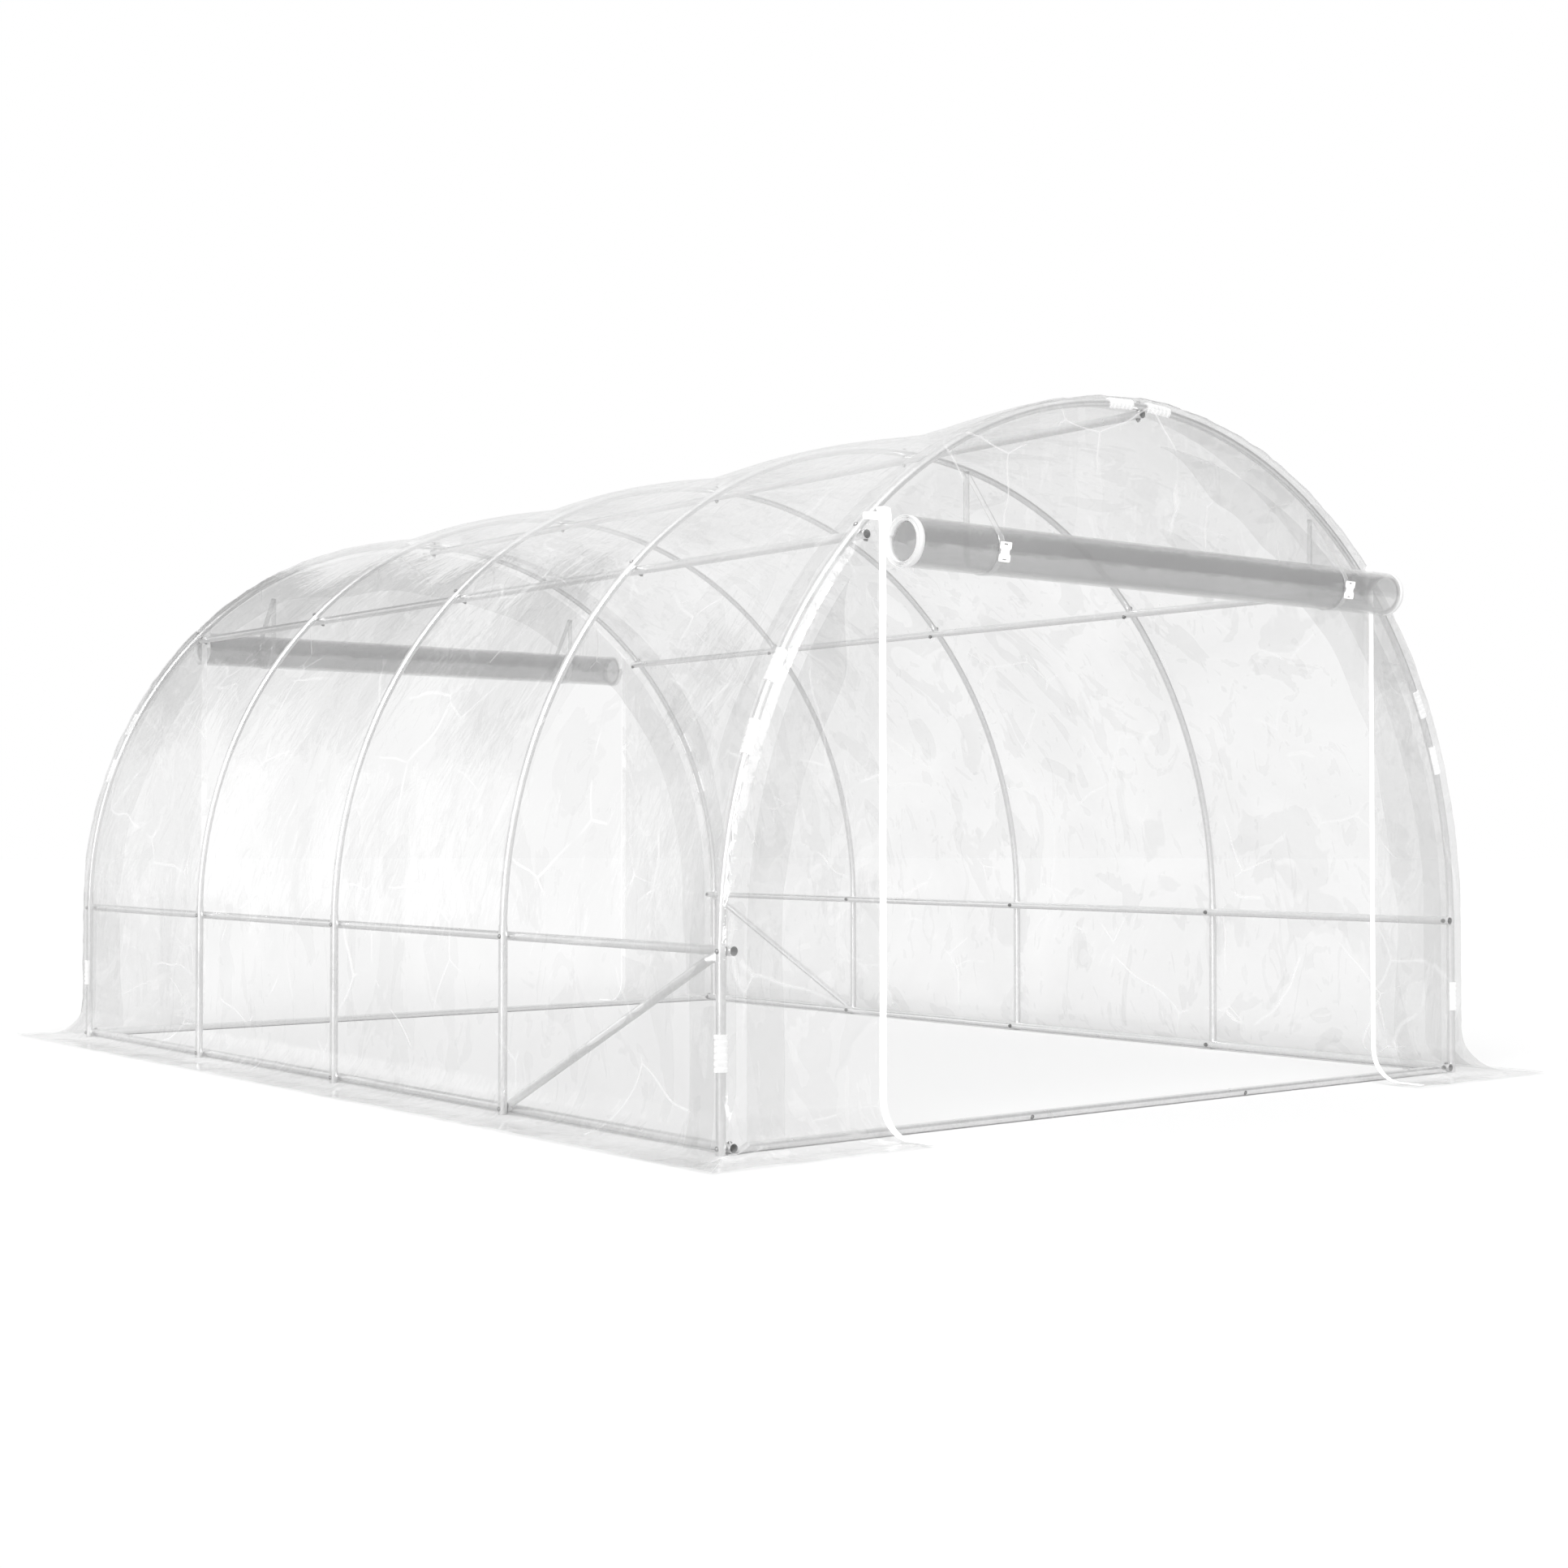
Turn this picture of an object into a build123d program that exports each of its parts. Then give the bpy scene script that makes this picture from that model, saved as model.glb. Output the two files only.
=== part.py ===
"""Polytunnel greenhouse: five steel hoops, seven lengthwise rails, two sill bars and two braces
under a clear film cover with ground skirts and a rolled-up door at each end.

The frame stands on Z = 0 with its middle on the origin. X runs across the tunnel, Y along it,
and the front door faces -Y. All sizes are in millimetres.
"""
import os
from math import asin, atan2, cos, degrees, radians, sin

from build123d import *

# Frame
frame_length = 4000
frame_width = 3000
side_height = 500          # height at which the legs pass into the round part of a hoop
bay_count = 4
leg_tube_d = 25
arc_tube_d = 22
rail_tube_d = 25
tube_wall = 1.0
leg_sleeve = 20            # a leg runs this far above side_height, as a socket for the arc
insert_length = 40         # straight end of a lower arc, down inside the leg
spigot_length = 50         # narrowed end of an arc inside the next arc
spigot_clearance = 0.3
seat_gap = 0.3             # between pieces that seat on each other
side_rail_height = 490
purlin_angle = 45          # of the upper purlins, up from the level at side_height
rail_overhang = 4          # rail ends past the outer faces of the end hoops

# Sill bars
sill_tube_d = 25
sill_middle_length = 930
sill_spigot = 45
sill_shoulder = 3          # length of the step down to the spigot
sill_flatten = 40          # length over which the tube is pressed flat
sill_tab_width = 34
sill_tab_thickness = 3
sill_tab_corner = 4
sill_tab_lap = 1           # the tab starts this far inside the flattened tube

# Braces
brace_tube_d = 25
brace_tab_thickness = 1.4
brace_tab_width = 26
brace_round_from = 52      # from the bolt to where the tube is round again
brace_flat_to = 27         # from the bolt to where the tab starts to open
bolt_hole_d = 6.5

# Film clips
clip_length = 90
clip_wall = 4.1            # at the ribs
clip_ribs = 6
clip_rib_width = 9
clip_groove_depth = 1.8    # between the ribs
clip_clearance = 0.4
clip_mouth = 130           # open angle of the clip, towards the inside of the tunnel
leg_clip_height = 245
arc_clip_angles = [20, 27.5, 87, 93, 152.5, 160]

# Film: a solid stands in for a sheet a fraction of a millimetre thick
film_thickness = 1.5
film_overhang = 44.5       # end films hang this far outside the middle of the end hoops
flare_radius = 110
foot_top = 150             # height at which an end film's flared foot meets its flat part
skirt_width = 180
door_width = 2000

# Rolled-up doors
roll_d = 140
roll_turns = 4
roll_pitch = 4
roll_height = 1512
zip_width = 18
zip_thickness = 1.5
strap_x = 715
strap_top = 1725
strap_width = 20
strap_thickness = 1.5
strap_seam = 60            # length of each strap leg that is sewn to the door head
buckle_width = 33
buckle_length = 52
buckle_thickness = 9
buckle_corner = 3
buckle_angle = -11         # of the buckle round the roll, from level at its outer side
buckle_window = (5, 16)
buckle_slot = (22, 3.5)
buckle_slot_inset = 6      # from the buckle's end to the middle of the slot

leg_r = leg_tube_d / 2
arc_r = arc_tube_d / 2
rail_r = rail_tube_d / 2
sill_r = sill_tube_d / 2
hoop_radius = frame_width / 2 - leg_r
hoop_end = frame_length / 2 - leg_r
hoop_ys = [-hoop_end + i * 2 * hoop_end / bay_count for i in range(bay_count + 1)]
bay = 2 * hoop_end / bay_count
spigot_angle = degrees(spigot_length / hoop_radius)
spigot_r = arc_r - tube_wall - spigot_clearance
wall_rail_x = hoop_radius - leg_r - brace_tab_thickness - 2 * seat_gap - rail_r
base_rail_height = sill_tab_thickness + seat_gap + rail_r
purlin_radius = hoop_radius - arc_r - seat_gap - rail_r
rail_end = frame_length / 2 + rail_overhang
leg_top = side_height + leg_sleeve
clip_outer_r = leg_r + clip_clearance + clip_wall
film_radius = hoop_radius + clip_outer_r + seat_gap
film_end = hoop_end + film_overhang
film_split_angle = degrees(asin(leg_sleeve / film_radius))
roll_r = roll_d / 2
roll_y = film_end + roll_r
pieces = {}


def keep(piece, name):
    """Label a finished piece and keep it under its name."""
    piece.part.label = name
    pieces[name] = piece.part


def hoop_plane(y, angle):
    """Section plane of a hoop tube: its x runs along the tunnel, its y in to the hoop's centre."""
    c, s = cos(radians(angle)), sin(radians(angle))
    middle = (hoop_radius * c, y, side_height + hoop_radius * s)
    return Plane(origin=middle, x_dir=(0, 1, 0), z_dir=(-s, 0, c))


def turn_about_hoop(section, y, angle, mode=Mode.ADD):
    """Turn a section drawn on a hoop plane about the hoop's centre, upwards from +X."""
    centre_line = Axis((0, y, side_height), (0, -1, 0))
    revolve(section.faces(), axis=centre_line, revolution_arc=angle, mode=mode)


def bent_bar(y, start, stop, radius, mode=Mode.ADD):
    """Round bar bent to the hoop's curve, between two angles."""
    with BuildSketch(hoop_plane(y, start)) as section:
        Circle(radius)
    turn_about_hoop(section.sketch, y, stop - start, mode)


def straight_tube(start, direction, length, outer_d):
    """Round tube with open ends."""
    with BuildSketch(Plane(origin=start, z_dir=direction)) as section:
        Circle(outer_d / 2)
        Circle(outer_d / 2 - tube_wall, mode=Mode.SUBTRACT)
    extrude(section.sketch, amount=length)


def leg_pair(y):
    with BuildPart() as legs:
        for side in (-1, 1):
            straight_tube((side * hoop_radius, y, 0), (0, 0, 1), leg_top, leg_tube_d)
    return legs


def lower_arc_pair(y):
    """The two arcs that stand in the legs, each with a narrowed end for the upper arc."""
    with BuildPart() as arcs:
        for side in (-1, 1):
            with BuildSketch(Plane.XY.offset(side_height - insert_length)):
                with Locations((side * hoop_radius, y)):
                    Circle(arc_r)
            extrude(amount=insert_length)
        bent_bar(y, 0, purlin_angle, arc_r)
        bent_bar(y, purlin_angle, purlin_angle + spigot_angle, spigot_r)
        bent_bar(y, 180 - purlin_angle, 180, arc_r)
        bent_bar(y, 180 - purlin_angle - spigot_angle, 180 - purlin_angle, spigot_r)
    return arcs


def upper_arc_pair(y):
    """The two arcs of the crown: sockets at their lower ends, a spigot and a socket at the ridge."""
    joint = degrees(seat_gap / hoop_radius)
    socket = spigot_angle + 2 * joint
    bore = arc_r - tube_wall
    with BuildPart() as arcs:
        bent_bar(y, purlin_angle + joint, 90, arc_r)
        bent_bar(y, 90 + joint, 180 - purlin_angle - joint, arc_r)
        bent_bar(y, purlin_angle, purlin_angle + socket, bore, Mode.SUBTRACT)
        bent_bar(y, 90, 90 + socket, bore, Mode.SUBTRACT)
        bent_bar(y, 180 - purlin_angle - socket, 180 - purlin_angle, bore, Mode.SUBTRACT)
        bent_bar(y, 90, 90 + spigot_angle, spigot_r)
    return arcs


def rail(x, z):
    with BuildPart() as tube:
        straight_tube((x, -rail_end, z), (0, 1, 0), 2 * rail_end, rail_tube_d)
    return tube


def sill_bar(end):
    """Bar on the ground between the end legs: three tubes, the outer two pressed flat at the ends
    to pass under the base rails, and narrowed at the joints to slide into the middle one."""
    y = end * hoop_end
    joint = sill_middle_length / 2
    flat_end = wall_rail_x + rail_r
    flat_start = wall_rail_x - rail_r - seat_gap
    round_end = flat_start - sill_flatten
    spigot_d = sill_tube_d - 2 * (tube_wall + spigot_clearance)
    with BuildPart() as bar:
        straight_tube((-joint, y, sill_r), (1, 0, 0), sill_middle_length, sill_tube_d)
        for side in (-1, 1):
            out = (side, 0, 0)
            shoulder = (side * (joint + seat_gap), y, sill_r)
            straight_tube((side * (joint - sill_spigot), y, sill_r), out,
                          sill_spigot + seat_gap + sill_shoulder, spigot_d)
            with BuildSketch(Plane(origin=shoulder, z_dir=out)):
                Circle(sill_r)
                Circle(spigot_d / 2 - tube_wall, mode=Mode.SUBTRACT)
            extrude(amount=sill_shoulder)
            straight_tube(shoulder, out, round_end - joint - seat_gap, sill_tube_d)
            with BuildSketch(Plane(origin=(side * round_end, y, sill_r), x_dir=(0, 1, 0), z_dir=out)):
                Circle(sill_r)
            tab_middle = (side * flat_start, y, sill_tab_thickness / 2)
            with BuildSketch(Plane(origin=tab_middle, x_dir=(0, 1, 0), z_dir=out)):
                Ellipse(sill_tab_width / 2, sill_tab_thickness / 2)
            loft()
            with BuildSketch(Plane.XY):
                with Locations((side * (flat_start + flat_end - sill_tab_lap) / 2, y)):
                    RectangleRounded(flat_end - flat_start + sill_tab_lap, sill_tab_width,
                                     sill_tab_corner)
                with Locations((side * wall_rail_x, y)):
                    Circle(bolt_hole_d / 2, mode=Mode.SUBTRACT)
            extrude(amount=sill_tab_thickness)
    return bar


def brace(turn):
    """Tube from an end leg at rail height down to the foot of the next leg, with flat bolted tabs."""
    def place(across, along, height):
        return Vector(turn * across, turn * along, height)

    tube_x = -hoop_radius
    tab_x = -hoop_radius + leg_r + seat_gap + brace_tab_thickness / 2
    high = (-hoop_end, side_rail_height)
    low = (-hoop_end + bay, base_rail_height)
    angle = atan2(low[1] - high[1], low[0] - high[0])
    length = ((low[0] - high[0]) ** 2 + (low[1] - high[1]) ** 2) ** 0.5
    with BuildPart() as tube:
        start = place(tube_x, high[0] + brace_round_from * cos(angle),
                      high[1] + brace_round_from * sin(angle))
        down = place(0, cos(angle), sin(angle))
        straight_tube(start, down, length - 2 * brace_round_from, brace_tube_d)
        for bolt, inward in ((high, 1), (low, -1)):
            along = inward * down
            wide = along.cross(Vector(1, 0, 0))
            opening = place(tube_x, *bolt) + along * brace_round_from
            with BuildSketch(Plane(origin=opening, x_dir=wide, z_dir=along)):
                Circle(brace_tube_d / 2)
            flat = place(tab_x, *bolt) + along * brace_flat_to
            with BuildSketch(Plane(origin=flat, x_dir=wide, z_dir=along)):
                Ellipse(brace_tab_width / 2, brace_tab_thickness / 2)
            loft()
            with BuildSketch(Plane(origin=place(tab_x, *bolt), x_dir=along, z_dir=(1, 0, 0))):
                SlotCenterPoint((brace_flat_to / 2, 0), (0, 0), brace_tab_width)
                Circle(bolt_hole_d / 2, mode=Mode.SUBTRACT)
            extrude(amount=brace_tab_thickness / 2, both=True)
    return tube


def clip_section(tube_r, end):
    """Open ring that snaps over a hoop tube, with its mouth to the inside of the tunnel."""
    outer = tube_r + clip_clearance + clip_wall
    half = radians(clip_mouth / 2)
    reach = 2 * outer
    Circle(outer)
    Circle(tube_r + clip_clearance, mode=Mode.SUBTRACT)
    middle = radians(45 if end < 0 else 135)
    corners = [(0, 0)]
    for offset in (-half, -half / 2, 0, half / 2, half):
        corners.append((reach * cos(middle + offset), reach * sin(middle + offset)))
    with BuildLine() as mouth:
        Polyline(*corners, close=True)
    make_face(mouth.edges(), mode=Mode.SUBTRACT)


def clip_planes(middles, starts):
    """Section planes across clips, each a distance along its clip from the clip's middle plane."""
    return [Plane(origin=middle.origin + middle.z_dir * start, x_dir=middle.x_dir,
                  z_dir=middle.z_dir) for middle in middles for start in starts]


def film_clips(end):
    """Straight ribbed clips that hold the cover to an end hoop: one on each leg, six on the arcs.
    A clip on an arc is set in by half the arc's rise over its length, to clear it all along."""
    y = end * hoop_end
    rise = hoop_radius - (hoop_radius ** 2 - (clip_length / 2) ** 2) ** 0.5
    drop = Vector(0, 0, leg_clip_height - side_height)
    legs = [Plane(origin=foot.origin + drop, x_dir=foot.x_dir, z_dir=foot.z_dir)
            for foot in (hoop_plane(y, 0), hoop_plane(y, 180))]
    arcs = [Plane(origin=top.origin + top.y_dir * rise / 2, x_dir=top.x_dir, z_dir=top.z_dir)
            for top in (hoop_plane(y, angle) for angle in arc_clip_angles)]
    groove = (clip_length - clip_ribs * clip_rib_width) / (clip_ribs - 1)
    grooves = [rib * (clip_rib_width + groove) - clip_length / 2 - groove
               for rib in range(1, clip_ribs)]
    with BuildPart() as clips:
        for middles, tube_r in ((legs, leg_r), (arcs, arc_r)):
            with BuildSketch(*clip_planes(middles, [-clip_length / 2])):
                clip_section(tube_r, end)
            extrude(amount=clip_length)
            rib_r = tube_r + clip_clearance + clip_wall
            with BuildSketch(*clip_planes(middles, grooves)):
                Circle(rib_r + clip_groove_depth)
                Circle(rib_r - clip_groove_depth, mode=Mode.SUBTRACT)
            extrude(amount=groove, mode=Mode.SUBTRACT)
    return clips


def flare_section(near, far, top, tip):
    """Side view of a film layer that comes down a wall and curves out over the ground.
    near and far are the layer's distances from the wall's inner face and from the ground."""
    centre = (flare_radius, flare_radius)
    with BuildLine() as outline:
        Line((near, top), (near, flare_radius))
        CenterArc(centre, flare_radius - near, 180, 90)
        Line((flare_radius, near), (tip, near))
        Line((tip, near), (tip, far))
        Line((tip, far), (flare_radius, far))
        CenterArc(centre, flare_radius - far, 270, -90)
        Line((far, flare_radius), (far, top))
        Line((far, top), (near, top))
    make_face(outline.edges())


def outward_plane(x, y, outward):
    """Upright plane whose x points outwards from a wall and whose y points up."""
    out = Vector(*outward)
    return Plane(origin=(x, y, 0), x_dir=out, z_dir=out.cross(Vector(0, 0, 1)))


def mitre(side, end, keep_wall):
    """Cut at the upright corner plane, keeping the side wall's part or the end film's part."""
    corner = (side * film_radius, end * film_end, 0)
    normal = (side, -end, 0) if keep_wall else (-side, end, 0)
    split(bisect_by=Plane(origin=corner, z_dir=normal), keep=Keep.TOP)


def wall_film(side):
    """Side of the cover from the ground skirt up to the top of the legs."""
    with BuildPart() as film:
        with BuildSketch(outward_plane(side * film_radius, 0, (side, 0, 0))):
            flare_section(0, film_thickness, leg_top, skirt_width)
        extrude(amount=film_end + skirt_width, both=True)
        mitre(side, -1, True)
        mitre(side, 1, True)
    return film


def roof_film(side):
    """Half of the round part of the cover, from the top of the legs to the ridge."""
    start = film_split_angle if side > 0 else 90
    with BuildPart() as film:
        with BuildSketch(Plane.XZ):
            with BuildLine():
                inner = CenterArc((0, side_height), film_radius, start, 90 - film_split_angle)
                outer = CenterArc((0, side_height), film_radius + film_thickness, start,
                                  90 - film_split_angle)
                Line(inner @ 0, outer @ 0)
                Line(inner @ 1, outer @ 1)
            make_face()
        extrude(amount=film_end + film_thickness, both=True)
    return film


def cover_half_width(height):
    """Half the clear width inside the cover, at a height in its round part."""
    return ((film_radius - seat_gap) ** 2 - (height - side_height) ** 2) ** 0.5


def end_outline(low_x, high_x, bottom):
    """Part of the end film that lies inside the cover, between two upright lines."""
    height = side_height + film_radius + film_thickness
    Circle(film_radius - seat_gap)
    with Locations((0, -side_height / 2 + leg_sleeve / 2)):
        Rectangle(2 * (film_radius + film_thickness), side_height + leg_sleeve)
    with Locations(((low_x + high_x) / 2, (bottom + height) / 2 - side_height)):
        Rectangle(high_x - low_x, height - bottom, mode=Mode.INTERSECT)


def end_film(side, end):
    """Fixed film beside the door, from the cover to the door's edge, with its ground skirt."""
    edge = door_width / 2
    outside = film_radius + film_thickness
    low_x, high_x = (edge, outside) if side > 0 else (-outside, -edge)
    tip = film_radius + skirt_width
    with BuildPart() as film:
        with BuildSketch(Plane(origin=(0, end * film_end, side_height), x_dir=(1, 0, 0),
                               z_dir=(0, -1, 0))):
            end_outline(low_x, high_x, foot_top)
        extrude(amount=-end * film_thickness)
        with BuildSketch(outward_plane(side * (edge + tip) / 2, end * film_end, (0, end, 0))):
            flare_section(0, film_thickness, foot_top, skirt_width)
        extrude(amount=(tip - edge) / 2, both=True)
        mitre(side, end, False)
    return film


def door_head(end):
    """Film above the door, from the rolled-up door to the cover."""
    edge = door_width / 2
    with BuildPart() as film:
        with BuildSketch(Plane(origin=(0, end * film_end, side_height), x_dir=(1, 0, 0),
                               z_dir=(0, -1, 0))):
            end_outline(-edge, edge, roll_height + seat_gap)
        extrude(amount=-end * film_thickness)
    return film


def door_zips(end):
    """Zip tapes down both edges of the doorway and out over the skirt."""
    near = film_thickness + seat_gap
    edge = door_width / 2 + seat_gap
    top = side_height + (film_radius ** 2 - (edge + zip_width) ** 2) ** 0.5 - zip_width
    with BuildPart() as zips:
        for side in (-1, 1):
            middle = side * (edge + zip_width / 2)
            with BuildSketch(outward_plane(middle, end * film_end, (0, end, 0))):
                flare_section(near, near + zip_thickness, top, skirt_width)
            extrude(amount=zip_width / 2, both=True)
    return zips


def roll_plane(x, end):
    """Upright plane across a door roll: its x points back to the tunnel, its y up."""
    return Plane(origin=(x, end * roll_y, roll_height), x_dir=(0, -end, 0), z_dir=(-end, 0, 0))


def door_roll(end):
    """Door film rolled up on itself: a spiral of half turns about two centres. It is as long as
    the door head's lower edge, where the doorway or the cover ends it."""
    start_r = roll_r - film_thickness - roll_turns * roll_pitch
    half_length = min(door_width / 2, cover_half_width(roll_height + seat_gap))
    with BuildPart() as roll:
        with BuildSketch(roll_plane(0, end)):
            with BuildLine():
                for layer in (0, film_thickness):
                    for half_turn in range(2 * roll_turns):
                        shift = roll_pitch / 2 if half_turn % 2 else 0
                        radius = start_r + layer + half_turn * roll_pitch / 2
                        CenterArc((shift, 0), radius, 180 * half_turn, 180)
                outer_r = start_r + roll_turns * roll_pitch
                Line((start_r, 0), (start_r + film_thickness, 0))
                Line((outer_r, 0), (outer_r + film_thickness, 0))
            make_face()
        extrude(amount=half_length, both=True)
    return roll


def strap_loop(radius, tip_r):
    """Outline round the roll and up to the strap's sewn top, with an upright back."""
    rise = strap_top - roll_height
    back = roll_r + seat_gap
    with BuildLine() as circles:
        CenterArc((0, 0), radius, 0, 360)
        CenterArc((back - strap_thickness, rise), tip_r, 0, 360)
    make_hull(circles.edges())


def door_straps(end):
    """Two straps a door, each round the roll, inside the film at the back and outside in front."""
    inner = roll_r + seat_gap
    with BuildPart() as straps:
        for side in (-1, 1):
            with BuildSketch(roll_plane(side * strap_x, end)):
                strap_loop(inner + strap_thickness, 2 * strap_thickness)
                with BuildSketch(mode=Mode.SUBTRACT):
                    strap_loop(inner, strap_thickness)
                with Locations((roll_r - (film_thickness + seat_gap) / 2, strap_top - roll_height)):
                    Rectangle(film_thickness + 2 * seat_gap, 2 * strap_seam, mode=Mode.SUBTRACT)
            extrude(amount=strap_width / 2, both=True)
    return straps


def strap_buckles(end):
    """Side-release buckles on the straps, at the outer side of the roll."""
    turned = radians(180 - buckle_angle)
    stand = roll_r + 2 * seat_gap + strap_thickness
    with BuildPart() as buckles:
        for side in (-1, 1):
            across = roll_plane(side * strap_x, end)
            out = across.x_dir * cos(turned) + across.y_dir * sin(turned)
            with BuildSketch(Plane(origin=across.origin + out * stand, x_dir=(1, 0, 0), z_dir=out)):
                RectangleRounded(buckle_width, buckle_length, buckle_corner)
                with Locations((-buckle_width / 2, 0), (buckle_width / 2, 0)):
                    SlotOverall(buckle_window[1], 2 * buckle_window[0], rotation=90,
                                mode=Mode.SUBTRACT)
                slot_y = buckle_length / 2 - buckle_slot_inset
                with Locations((0, -slot_y), (0, slot_y)):
                    Rectangle(*buckle_slot, mode=Mode.SUBTRACT)
            extrude(amount=buckle_thickness)
    return buckles


for number, hoop_y in enumerate(hoop_ys, start=1):
    keep(leg_pair(hoop_y), f"hoop_{number}_legs")
    keep(lower_arc_pair(hoop_y), f"hoop_{number}_lower_arcs")
    keep(upper_arc_pair(hoop_y), f"hoop_{number}_upper_arcs")

purlin_x = purlin_radius * cos(radians(purlin_angle))
purlin_z = side_height + purlin_radius * sin(radians(purlin_angle))
for side, side_name in ((-1, "left"), (1, "right")):
    keep(rail(side * wall_rail_x, base_rail_height), f"{side_name}_base_rail")
    keep(rail(side * wall_rail_x, side_rail_height), f"{side_name}_side_rail")
    keep(rail(side * purlin_x, purlin_z), f"{side_name}_purlin")
    keep(wall_film(side), f"{side_name}_wall_film")
    keep(roof_film(side), f"{side_name}_roof_film")
keep(rail(0, side_height + purlin_radius), "ridge_rail")

keep(brace(1), "front_left_brace")
keep(brace(-1), "rear_right_brace")

for end, end_name in ((-1, "front"), (1, "rear")):
    keep(sill_bar(end), f"{end_name}_sill_bar")
    keep(film_clips(end), f"{end_name}_film_clips")
    keep(end_film(-1, end), f"{end_name}_film_left")
    keep(end_film(1, end), f"{end_name}_film_right")
    keep(door_head(end), f"{end_name}_door_head")
    keep(door_zips(end), f"{end_name}_door_zips")
    keep(door_roll(end), f"{end_name}_door_roll")
    keep(door_straps(end), f"{end_name}_door_straps")
    keep(strap_buckles(end), f"{end_name}_strap_buckles")

os.makedirs("parts", exist_ok=True)
for name, solid in pieces.items():
    export_step(solid, f"parts/{name}.step")
    print(name, len(solid.solids()), round(solid.volume))
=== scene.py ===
# %% [markdown]
# This lesson dresses a polytunnel greenhouse: steel hoops and rails under a clear film cover, with
# a ground skirt all round and a zipped door rolled up at each end. The steel, the clips and the
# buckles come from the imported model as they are. Everything soft is made here, in metres, in the
# same frame.

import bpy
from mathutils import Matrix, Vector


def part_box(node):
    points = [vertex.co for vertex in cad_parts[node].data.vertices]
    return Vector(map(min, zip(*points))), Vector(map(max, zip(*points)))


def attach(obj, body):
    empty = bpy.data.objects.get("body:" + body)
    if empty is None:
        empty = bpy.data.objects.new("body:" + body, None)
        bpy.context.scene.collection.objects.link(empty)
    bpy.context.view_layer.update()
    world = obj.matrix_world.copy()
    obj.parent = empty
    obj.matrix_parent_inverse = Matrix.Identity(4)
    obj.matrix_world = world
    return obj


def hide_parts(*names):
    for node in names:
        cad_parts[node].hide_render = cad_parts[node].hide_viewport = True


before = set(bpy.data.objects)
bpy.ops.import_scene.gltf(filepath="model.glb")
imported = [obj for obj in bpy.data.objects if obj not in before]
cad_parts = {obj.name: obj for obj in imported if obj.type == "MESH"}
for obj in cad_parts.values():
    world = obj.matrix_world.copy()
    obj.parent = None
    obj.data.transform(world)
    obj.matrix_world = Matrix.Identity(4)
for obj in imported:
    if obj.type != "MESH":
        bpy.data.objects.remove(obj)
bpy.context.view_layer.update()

# %% Blender's own modules
import math

import bmesh
import bpy
from mathutils import Matrix, Vector, noise

# %% [markdown]
# The camera was solved from about fifty points of the frame in the photograph. It stands near the
# ground off the front left corner and looks slightly up. The lens follows from the focal length in
# pixels, the image being 1932 pixels wide.

# %% Camera
image_width = 1932
focal_pixels = 2726.0
camera_place = (-4.7133, -6.2407, 0.7763)
camera_turn = 38.81          # degrees from +Y towards +X
camera_rise = 1.255          # degrees above level

camera_data = bpy.data.cameras.new("photo_camera")
camera_data.sensor_width = 36.0
camera_data.lens = camera_data.sensor_width * focal_pixels / image_width
camera_data.clip_end = 200.0
camera = bpy.data.objects.new("photo_camera", camera_data)
camera.location = camera_place
camera.rotation_euler = (math.radians(90 + camera_rise), 0, math.radians(-camera_turn))
bpy.context.scene.collection.objects.link(camera)
bpy.context.scene.camera = camera
print("lens", round(camera_data.lens, 3))

# %% [markdown]
# World, floor and finishes are small networks of shader nodes. These helpers add a node, set its
# sockets and feed one socket from another, so that each finish below reads as a short list.

# %% Helpers for shader nodes
def set_inputs(node, settings):
    for name, value in settings.items():
        node.inputs[name].default_value = value


def add_node(tree, kind, settings=None, **options):
    """New node, with options set on the node itself and settings on its input sockets."""
    node = tree.nodes.new(kind)
    for name, value in options.items():
        setattr(node, name, value)
    set_inputs(node, settings or {})
    return node


def feed(value, node, name):
    """Link an output socket to an input of a node."""
    node.id_data.links.new(value, node.inputs[name])


def add_math(tree, operation, first, second):
    """Math on an output socket and on a second one, or on a number."""
    node = add_node(tree, "ShaderNodeMath", operation=operation)
    feed(first, node, 0)
    if isinstance(second, float):
        node.inputs[1].default_value = second
    else:
        feed(second, node, 1)
    return node.outputs[0]


def add_range(tree, value, low, high, to_low, to_high):
    """Carry one range of values over to another, clamped."""
    node = add_node(tree, "ShaderNodeMapRange",
                    {"From Min": low, "From Max": high, "To Min": to_low, "To Max": to_high})
    feed(value, node, "Value")
    return node.outputs["Result"]


# %% [markdown]
# Light first, because clear film shows little but what it lets through and what it mirrors. The
# world is white where the camera, a mirror or glass sees it, and a bit dimmer as a lamp, so that a
# soft sun can add form. The tall soft boxes only show in reflections: they draw the bright streaks
# on the film.

# %% Colour management and transparency depth
scene = bpy.context.scene
scene.view_settings.view_transform = "Standard"
scene.cycles.transparent_max_bounces = 48
scene.cycles.max_bounces = 12

# %% World
world_light = 0.74           # strength of the white world as a lamp

world = bpy.data.worlds.new("studio_white")
scene.world = world
world.use_nodes = True
tree = world.node_tree
tree.nodes.clear()
rays = add_node(tree, "ShaderNodeLightPath").outputs
seen = add_math(tree, "MAXIMUM", rays["Is Camera Ray"], rays["Is Glossy Ray"])
seen = add_math(tree, "MAXIMUM", seen, rays["Is Transmission Ray"])
background = add_node(tree, "ShaderNodeBackground", {"Color": (1, 1, 1, 1)})
feed(add_range(tree, seen, 0.0, 1.0, world_light, 1.0), background, "Strength")
feed(background.outputs["Background"], add_node(tree, "ShaderNodeOutputWorld"), "Surface")

# %% Sun
sun_strength = 1.5
sun_from = Vector((-0.62, -0.60, 0.75))     # the side of the camera, and above it
sun_spread = 50              # degrees, for soft shadows

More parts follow.
